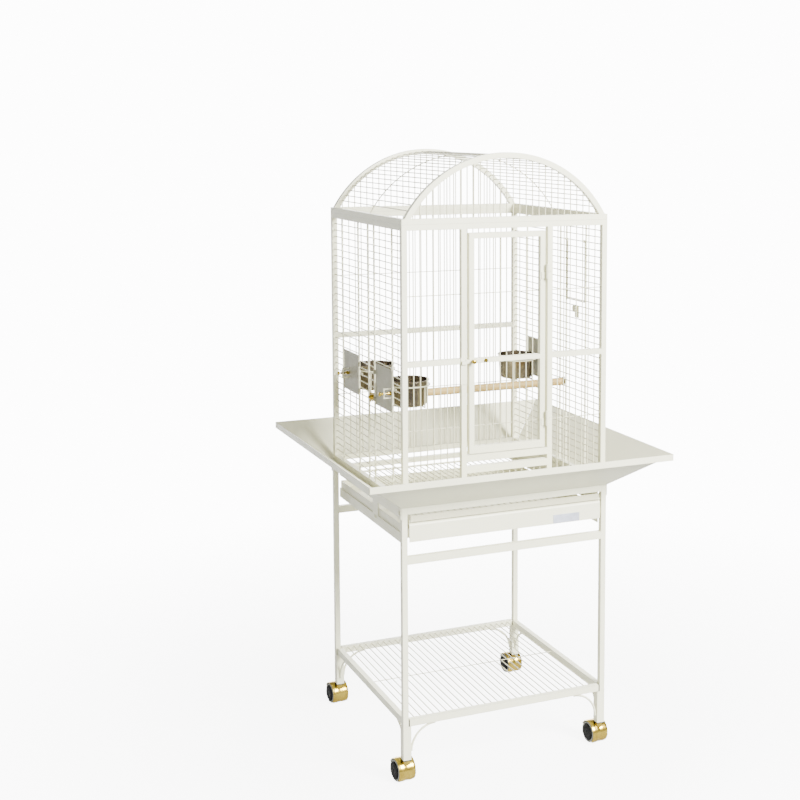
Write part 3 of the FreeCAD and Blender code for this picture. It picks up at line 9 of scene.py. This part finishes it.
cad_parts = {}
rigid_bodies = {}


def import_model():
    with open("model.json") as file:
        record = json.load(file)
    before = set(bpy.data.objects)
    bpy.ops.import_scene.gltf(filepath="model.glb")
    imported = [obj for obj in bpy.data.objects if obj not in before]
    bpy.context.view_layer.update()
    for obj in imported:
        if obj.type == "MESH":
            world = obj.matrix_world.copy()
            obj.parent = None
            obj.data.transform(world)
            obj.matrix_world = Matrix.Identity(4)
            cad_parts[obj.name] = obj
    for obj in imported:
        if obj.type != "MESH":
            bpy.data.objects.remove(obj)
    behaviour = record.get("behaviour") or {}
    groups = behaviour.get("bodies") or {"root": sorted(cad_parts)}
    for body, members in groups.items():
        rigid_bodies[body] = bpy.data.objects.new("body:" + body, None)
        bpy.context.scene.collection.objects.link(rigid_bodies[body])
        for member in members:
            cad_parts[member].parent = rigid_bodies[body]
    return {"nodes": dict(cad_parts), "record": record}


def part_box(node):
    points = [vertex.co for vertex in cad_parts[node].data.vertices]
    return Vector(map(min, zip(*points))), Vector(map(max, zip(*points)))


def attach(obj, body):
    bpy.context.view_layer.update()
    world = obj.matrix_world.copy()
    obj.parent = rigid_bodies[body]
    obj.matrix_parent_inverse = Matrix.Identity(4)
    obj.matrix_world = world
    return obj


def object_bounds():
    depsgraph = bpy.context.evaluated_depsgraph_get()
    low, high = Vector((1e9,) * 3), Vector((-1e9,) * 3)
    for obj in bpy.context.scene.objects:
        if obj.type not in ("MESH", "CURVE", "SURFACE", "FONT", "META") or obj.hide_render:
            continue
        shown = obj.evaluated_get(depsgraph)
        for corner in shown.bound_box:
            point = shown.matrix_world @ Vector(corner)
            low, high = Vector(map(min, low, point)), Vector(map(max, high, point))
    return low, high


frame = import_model()
CAD_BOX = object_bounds()
NODES = frame["nodes"]
FLOOR = CAD_BOX[0][2]


# ---------------------------------------------------------------- node helpers

def new_material(name):
    """A material with a Principled shader; returns the material, its nodes and that shader."""
    material = bpy.data.materials.new(name)
    material.use_nodes = True
    return material, material.node_tree, material.node_tree.nodes["Principled BSDF"]


def place_coordinates(tree, stretch=(1, 1, 1)):
    """The piece's own coordinates in metres, stretched along its axes."""
    source = tree.nodes.new("ShaderNodeTexCoord")
    mapping = tree.nodes.new("ShaderNodeMapping")
    mapping.inputs["Scale"].default_value = stretch
    tree.links.new(source.outputs["Object"], mapping.inputs["Vector"])
    return mapping.outputs["Vector"]


def noise(tree, vector, scale, detail=3, roughness=0.5):
    texture = tree.nodes.new("ShaderNodeTexNoise")
    texture.inputs["Scale"].default_value = scale
    texture.inputs["Detail"].default_value = detail
    texture.inputs["Roughness"].default_value = roughness
    tree.links.new(vector, texture.inputs["Vector"])
    return texture.outputs["Fac"]


def remap(tree, value, low, high, from_low=0.3, from_high=0.7):
    node = tree.nodes.new("ShaderNodeMapRange")
    for name, number in (("From Min", from_low), ("From Max", from_high), ("To Min", low), ("To Max", high)):
        node.inputs[name].default_value = number
    tree.links.new(value, node.inputs["Value"])
    return node.outputs["Result"]


def ramp(tree, value, stops):
    """A colour ramp; stops are (position, colour) pairs."""
    node = tree.nodes.new("ShaderNodeValToRGB")
    elements = node.color_ramp.elements
    while len(elements) < len(stops):
        elements.new(0.5)
    for element, (position, colour) in zip(elements, stops):
        element.position = position
        element.color = (*colour, 1)
    tree.links.new(value, node.inputs["Fac"])
    return node.outputs["Color"]


def bump(tree, shader, height, strength, distance, below=None):
    node = tree.nodes.new("ShaderNodeBump")
    node.inputs["Strength"].default_value = strength
    node.inputs["Distance"].default_value = distance
    tree.links.new(height, node.inputs["Height"])
    if below is not None:
        tree.links.new(below, node.inputs["Normal"])
    tree.links.new(node.outputs["Normal"], shader.inputs["Normal"])
    return node.outputs["Normal"]


# Sockets of a colour Mix node, which share their names with its number and vector sockets.
MIX_FIRST = 6
MIX_SECOND = 7
MIX_RESULT = 2


def mix_colours(tree, first, factor=1, blend="MIX"):
    """A Mix node over the first colour; returns its second colour's socket and its result."""
    node = tree.nodes.new("ShaderNodeMix")
    node.data_type = "RGBA"
    node.blend_type = blend
    if isinstance(factor, bpy.types.NodeSocket):
        tree.links.new(factor, node.inputs["Factor"])
    else:
        node.inputs["Factor"].default_value = factor
    tree.links.new(first, node.inputs[MIX_FIRST])
    return node.inputs[MIX_SECOND], node.outputs[MIX_RESULT]


def vector_math(tree, operation, first, second=None):
    """A Vector Math node; the second vector is a socket, a fixed vector or nothing."""
    node = tree.nodes.new("ShaderNodeVectorMath")
    node.operation = operation
    tree.links.new(first, node.inputs[0])
    if isinstance(second, bpy.types.NodeSocket):
        tree.links.new(second, node.inputs[1])
    elif second is not None:
        node.inputs[1].default_value = second
    return node.outputs


def shade(colour, factor):
    return tuple(channel * factor for channel in colour)


# ---------------------------------------------------------------- materials

# The rounded band along each sharp edge, in metres, how far the coating is darkened by wear there, and how
# alike the rounded and the true normal are at a full edge and on a flat face.
EDGE_BAND = 0.0009
EDGE_WEAR = 0.5
EDGE_MATCH = (0.84, 0.985)
# Painted shade on thin wire: where the metal is thinner than this, in metres, the coat colour is darkened by
# the factor.
THIN_STOCK = 0.0042
THIN_WIRE_SHADE = (0.70, 0.68, 0.62)
THIN_OPENNESS = (0.05, 0.55)
TRACE_SAMPLES = 4


def edge_mask(tree, vector):
    """Gives 1 along sharp edges and 0 elsewhere, broken up by noise, and the rounded normal."""
    rounded = tree.nodes.new("ShaderNodeBevel")
    rounded.samples = TRACE_SAMPLES
    rounded.inputs["Radius"].default_value = EDGE_BAND
    surface = tree.nodes.new("ShaderNodeNewGeometry")
    match = vector_math(tree, "DOT_PRODUCT", rounded.outputs["Normal"], surface.outputs["Normal"])
    patchy = tree.nodes.new("ShaderNodeMath")
    patchy.operation = "MULTIPLY"
    tree.links.new(remap(tree, match["Value"], 1, 0, *EDGE_MATCH), patchy.inputs[0])
    tree.links.new(remap(tree, noise(tree, vector, 40), 0.25, 1, 0.35, 0.6), patchy.inputs[1])
    return patchy.outputs[0], rounded.outputs["Normal"]


def thin_wire_shade_mask(tree):
    """Gives 0 on thick tube and 1 on thin wire, where the painted shade goes."""
    inside = tree.nodes.new("ShaderNodeAmbientOcclusion")
    inside.inside = True
    inside.only_local = True
    inside.samples = TRACE_SAMPLES
    inside.inputs["Distance"].default_value = THIN_STOCK
    return remap(tree, inside.outputs["AO"], 1, 0, *THIN_OPENNESS)


def powder_coat(name, colour, gloss=0.42, shades_thin_wire=False):
    """Sprayed and baked coating: orange peel, clouding and worn edges, with painted shade darkening thin wire
    when asked.
    """
    material, tree, shader = new_material(name)
    vector = place_coordinates(tree)
    clouds = noise(tree, vector, 9, detail=4)
    tint = ramp(tree, clouds, [(0.25, shade(colour, 0.955)), (0.75, shade(colour, 1.02))])
    edges, rounded = edge_mask(tree, vector)
    worn, coat = mix_colours(tree, tint, edges)
    worn.default_value = (*shade(colour, EDGE_WEAR), 1)
    if shades_thin_wire:
        # Painted shade: the coat colour on thin wire is multiplied darker.
        painted_shade, coat = mix_colours(tree, coat, thin_wire_shade_mask(tree), "MULTIPLY")
        painted_shade.default_value = (*THIN_WIRE_SHADE, 1)
    tree.links.new(coat, shader.inputs["Base Color"])
    gleam = remap(tree, noise(tree, vector, 60), gloss - 0.06, gloss + 0.07)
    tree.links.new(gleam, shader.inputs["Roughness"])
    peel = noise(tree, vector, 750, detail=2)
    waves = noise(tree, vector, 130, detail=2)
    first = bump(tree, shader, waves, 0.12, 0.0003, rounded)
    bump(tree, shader, peel, 0.22, 0.00012, first)
    shader.inputs["Coat Weight"].default_value = 0.12
    shader.inputs["Coat Roughness"].default_value = 0.25
    return material


def brushed_metal(name, light, dark, roughness, stretch, scale=260):
    """Metal with fine lines along one direction, and slow changes of tone."""
    material, tree, shader = new_material(name)
    lines = noise(tree, place_coordinates(tree, stretch), scale, detail=4, roughness=0.65)
    patches = noise(tree, place_coordinates(tree), 45, detail=3)
    tone = ramp(tree, patches, [(0.3, dark), (0.7, light)])
    tree.links.new(tone, shader.inputs["Base Color"])
    shader.inputs["Metallic"].default_value = 1
    tree.links.new(remap(tree, lines, roughness * 0.75, roughness * 1.35), shader.inputs["Roughness"])
    bump(tree, shader, lines, 0.18, 0.00006)
    return material


def turned_wood(name, light, dark):
    """Bare dowel: long grain along X with darker streaks and fine pores."""
    material, tree, shader = new_material(name)
    grain = noise(tree, place_coordinates(tree, (0.045, 1, 1)), 190, detail=6, roughness=0.6)
    pores = noise(tree, place_coordinates(tree, (0.02, 1, 1)), 900, detail=3)
    broad = noise(tree, place_coordinates(tree, (0.12, 1, 1)), 35, detail=3)
    streaks = tree.nodes.new("ShaderNodeMath")
    streaks.operation = "MULTIPLY_ADD"
    streaks.inputs[1].default_value = 0.6
    tree.links.new(grain, streaks.inputs[0])
    tree.links.new(remap(tree, broad, 0.1, 0.35), streaks.inputs[2])
    middle = tuple((a + b) / 2 for a, b in zip(light, dark))
    colour = ramp(tree, streaks.outputs[0], [(0.38, dark), (0.5, middle), (0.66, light)])
    tree.links.new(colour, shader.inputs["Base Color"])
    tree.links.new(remap(tree, grain, 0.5, 0.68), shader.inputs["Roughness"])
    first = bump(tree, shader, grain, 0.15, 0.0004)
    bump(tree, shader, pores, 0.2, 0.00015, first)
    return material


def moulded(name, colour, roughness=0.5):
    """Moulded plastic with a fine texture."""
    material, tree, shader = new_material(name)
    vector = place_coordinates(tree)
    tint = ramp(tree, noise(tree, vector, 60), [(0.3, shade(colour, 0.85)), (0.7, shade(colour, 1.15))])
    tree.links.new(tint, shader.inputs["Base Color"])
    tree.links.new(remap(tree, noise(tree, vector, 200), roughness - 0.08, roughness + 0.1),
                   shader.inputs["Roughness"])
    bump(tree, shader, noise(tree, vector, 1600, detail=2), 0.2, 0.0001)
    return material


CREAM = (0.77, 0.76, 0.56)
WHITE = powder_coat("white_powder_coat", CREAM)
# This coat carries painted shade on its thin wire.
SHADED_WIRE = powder_coat("white_wire_coat_painted_shade", CREAM, shades_thin_wire=True)
GREY = powder_coat("grey_powder_coat", (0.28, 0.265, 0.17), gloss=0.55)
BRASS = brushed_metal("brass", (0.56, 0.42, 0.07), (0.34, 0.23, 0.03), 0.22, (1, 1, 6))
STEEL = brushed_metal("cup_steel", (0.30, 0.26, 0.20), (0.16, 0.135, 0.10), 0.22, (1, 1, 9))
WOOD = turned_wood("perch_wood", (0.54, 0.38, 0.13), (0.38, 0.24, 0.07))
BLACK = moulded("black_plastic", (0.018, 0.018, 0.018))
LABEL = moulded("label_plate", (0.40, 0.42, 0.48), 0.3)
FINISH = {"white_coat": WHITE, "grey_coat": GREY, "brass": BRASS, "cup_steel": STEEL, "perch_wood": WOOD,
          "black_plastic": BLACK, "label": LABEL}


# A wheel's bands from its axle outward: black hub, grey tyre flank and dark tread. The radii are in metres.
# BAND_BLUR is the half width of a band's edge, as a share of the colour ramp.
HUB_RADIUS = 0.0192
FLANK_RADIUS = 0.0242
BAND_BLUR = 0.006
HUB_COLOUR = (0.006, 0.006, 0.006)
FLANK_COLOUR = (0.25, 0.255, 0.225)
TREAD_COLOUR = (0.045, 0.045, 0.044)


def banded_wheel(name, centre, axis):
    """Wheel plastic whose colour follows the distance from the axle."""
    material, tree, shader = new_material(name)
    vector = place_coordinates(tree)
    offset = vector_math(tree, "SUBTRACT", vector, centre)["Vector"]
    across = vector_math(tree, "CROSS_PRODUCT", offset, axis)["Vector"]
    radius = vector_math(tree, "LENGTH", across)["Value"]
    reach = 2 * FLANK_RADIUS
    hub, flank = HUB_RADIUS / reach, FLANK_RADIUS / reach
    bands = ramp(tree, remap(tree, radius, 0, 1, 0, reach),
                 [(hub - BAND_BLUR, HUB_COLOUR), (hub + BAND_BLUR, FLANK_COLOUR),
                  (flank - BAND_BLUR, FLANK_COLOUR), (flank + BAND_BLUR, TREAD_COLOUR)])
    speckle, colour = mix_colours(tree, bands, blend="MULTIPLY")
    tree.links.new(ramp(tree, noise(tree, vector, 300), [(0.3, (0.85,) * 3), (0.7, (1,) * 3)]), speckle)
    tree.links.new(colour, shader.inputs["Base Color"])
    tree.links.new(remap(tree, noise(tree, vector, 200), 0.5, 0.66), shader.inputs["Roughness"])
    shader.inputs["Specular IOR Level"].default_value = 0.25
    bump(tree, shader, noise(tree, vector, 1600, detail=2), 0.2, 0.0001)
    return material


def wheels():
    """Each wheel's node with the joint that it spins on."""
    behaviour = frame["record"]["behaviour"]
    return [(node, joint) for joint in behaviour["joints"] for node in behaviour["bodies"][joint["child"]]
            if "_wheel_" in node]


def finish(node, material):
    NODES[node].data.materials.clear()
    NODES[node].data.materials.append(material)


# Nodes of welded wire and tube. Their coat gets painted shade on the thin wire.
WIRE_NODES = ("front_panel", "back_panel", "left_panel", "right_panel", "main_door", "nest_door",
              "dome_front", "dome_rear", "roof_grille", "roof_hoop", "shelf", "grate", "cup_holders")


def finish_nodes():
    """Gives each wheel its bands about its own axle, the wire nodes the white coat with painted shade on thin
    wire, and every other CAD node the material of its slot.
    """
    for part in frame["record"]["subparts"]:
        if part["material_slot"] in FINISH:
            finish(part["node"], SHADED_WIRE if part["node"] in WIRE_NODES else FINISH[part["material_slot"]])
    for node, joint in wheels():
        finish(node, banded_wheel(node, joint["pos_m"], joint["axis"]))


finish_nodes()


# ---------------------------------------------------------------- hub caps

# A hub cap's outline from back to front: radius, and height above the side of its tyre, in metres.
HUB_OUTLINE = ((0.0190, -0.0016), (0.0192, 0.0008), (0.0188, 0.0018), (0.0176, 0.0024), (0.0150, 0.0028),
               (0.0100, 0.0030), (0.0062, 0.0031), (0.0056, 0.0027), (0.0050, 0.0031), (0.0020, 0.0032))
HUB_SIDES = 56


def turned(name, outline, centre, axis, sides):
    """A closed turned piece: the outline's (radius, height) pairs go round the axis through the centre."""
    upright = Vector((0, 0, 1)).rotation_difference(axis).to_matrix()
    turns = [2 * math.pi * step / sides for step in range(sides)]
    points = [centre + upright @ Vector((radius * math.cos(turn), radius * math.sin(turn), height))
              for radius, height in outline for turn in turns]
    faces = [tuple(reversed(range(sides))), tuple(range(len(points) - sides, len(points)))]
    for ring in range(len(outline) - 1):
        for side in range(sides):
            low, low_next = ring * sides + side, ring * sides + (side + 1) % sides
            faces.append((low, low_next, low_next + sides, low + sides))
    mesh = bpy.data.meshes.new(name)
    mesh.from_pydata(points, [], faces)
    for face in mesh.polygons:
        face.use_smooth = len(face.vertices) == 4
    piece = bpy.data.objects.new(name, mesh)
    bpy.context.scene.collection.objects.link(piece)
    return piece


def outward_axis(node, joint, caster_place):
    """The wheel's axis, pointing away from its caster's middle."""
    low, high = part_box(node)
    axis = Vector(joint["axis"]).normalized()
    outward = (Vector(low) + Vector(high)) / 2 - caster_place
    return axis if outward.dot(axis) > 0 else -axis


def hub_caps():
    """A domed black cap on the outer side of each wheel, turning with it."""
    plastic = moulded("hub_plastic", HUB_COLOUR, 0.6)
    plastic.node_tree.nodes["Principled BSDF"].inputs["Specular IOR Level"].default_value = 0.15
    joints = frame["record"]["behaviour"]["joints"]
    pivots = {joint["child"]: Vector(joint["pos_m"]) for joint in joints if "pos_m" in joint}
    for node, joint in wheels():
        centre = Vector(joint["pos_m"])
        axis = outward_axis(node, joint, pivots[joint["parent"]])
        tyre = NODES[node]
        side = max((tyre.matrix_world @ vertex.co - centre).dot(axis) for vertex in tyre.data.vertices)
        cap = turned(f"hub_cap_{node}", HUB_OUTLINE, centre + side * axis, axis, HUB_SIDES)
        cap.data.materials.append(plastic)
        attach(cap, joint["child"])


hub_caps()


# ---------------------------------------------------------------- studio and camera

# The floor's disc: its radius and the radii between which it fades, in metres, and how much it covers before.
FLOOR_RADIUS = 3.0
FLOOR_FADE = (0.5, 2.0)
FLOOR_COVER = 0.45
FLOOR_SIDES = 96
FLOOR_TINTS = ((0.91, 0.91, 0.91), (0.93, 0.93, 0.93))


def floor():
    """A round pale floor under the object that fades out into the backdrop."""
    mesh = bpy.data.meshes.new("floor")
    turns = [2 * math.pi * step / FLOOR_SIDES for step in range(FLOOR_SIDES)]
    rim = [(FLOOR_RADIUS * math.cos(turn), FLOOR_RADIUS * math.sin(turn), FLOOR) for turn in turns]
    mesh.from_pydata(rim, [], [tuple(range(FLOOR_SIDES))])
    piece = bpy.data.objects.new("floor", mesh)
    bpy.context.scene.collection.objects.link(piece)
    material, tree, shader = new_material("floor_paper")
    vector = place_coordinates(tree)
    tint = ramp(tree, noise(tree, vector, 3), list(zip((0.3, 0.7), FLOOR_TINTS)))
    tree.links.new(tint, shader.inputs["Base Color"])
    shader.inputs["Roughness"].default_value = 0.9
    distance = vector_math(tree, "LENGTH", vector)["Value"]
    tree.links.new(remap(tree, distance, FLOOR_COVER, 0, *FLOOR_FADE), shader.inputs["Alpha"])
    mesh.materials.append(material)


# What the lights point at, and each light's place, side and power, in metres and watts.
LIT_PLACE = (0, 0, 0.75)
LIGHTS = {"key": ((1.5, -3.6, 2.9), 1.6, 1080), "fill": ((-3.4, -1.8, 1.6), 2.0, 40)}


def area_light(name, place, side, power):
    """A square light that points at the object."""
    data = bpy.data.lights.new(name, "AREA")
    data.shape = "RECTANGLE"
    data.size = data.size_y = side
    data.energy = power
    light = bpy.data.objects.new(name, data)
    bpy.context.scene.collection.objects.link(light)
    light.location = place
    light.rotation_euler = (Vector(LIT_PLACE) - Vector(place)).to_track_quat("-Z", "Y").to_euler()


# Brightness of the surrounding light ahead of the object and behind it. It changes over with the direction's
# share along GLOW_AXIS.
FRONT_GLOW = 0.6
BACK_GLOW = 13.0
GLOW_AXIS = (0.34, 0.92, -0.19)
GLOW_CHANGE = (0.8, 0.9)


def surroundings():
    """Even white light that is much brighter behind the object, as a lit backdrop is."""
    world = bpy.data.worlds.new("studio")
    bpy.context.scene.world = world
    world.use_nodes = True
    tree = world.node_tree
    background = tree.nodes["Background"]
    background.inputs["Color"].default_value = (1, 1, 1, 1)
    direction = tree.nodes.new("ShaderNodeTexCoord")
    share = vector_math(tree, "DOT_PRODUCT", direction.outputs["Generated"], GLOW_AXIS)["Value"]
    glow = remap(tree, share, FRONT_GLOW, BACK_GLOW, *GLOW_CHANGE)
    tree.links.new(glow, background.inputs["Strength"])


def studio():
    surroundings()
    for name, settings in LIGHTS.items():
        area_light(name, *settings)


# The view: the camera's place in metres, its turns in degrees, its lens in millimetres and its shift.
CAMERA_PLACE = (-1.324, -3.155, 1.483)
CAMERA_YAW = 25.13
CAMERA_PITCH = 6.06
CAMERA_ROLL = 0.15
CAMERA_LENS = 63.97
CAMERA_SHIFT = (-0.1532, -0.1536)
CAMERA_SENSOR = 36


def camera():
    data = bpy.data.cameras.new("camera")
    data.sensor_width = CAMERA_SENSOR
    data.lens = CAMERA_LENS
    data.shift_x, data.shift_y = CAMERA_SHIFT
    piece = bpy.data.objects.new("camera", data)
    bpy.context.scene.collection.objects.link(piece)
    yaw, pitch, roll = (math.radians(angle) for angle in (CAMERA_YAW, CAMERA_PITCH, CAMERA_ROLL))
    level = Matrix.Rotation(-yaw, 4, "Z") @ Matrix.Rotation(math.pi / 2 - pitch, 4, "X")
    piece.matrix_world = Matrix.Translation(CAMERA_PLACE) @ level @ Matrix.Rotation(roll, 4, "Z")
    bpy.context.scene.camera = piece


floor()
studio()
camera()
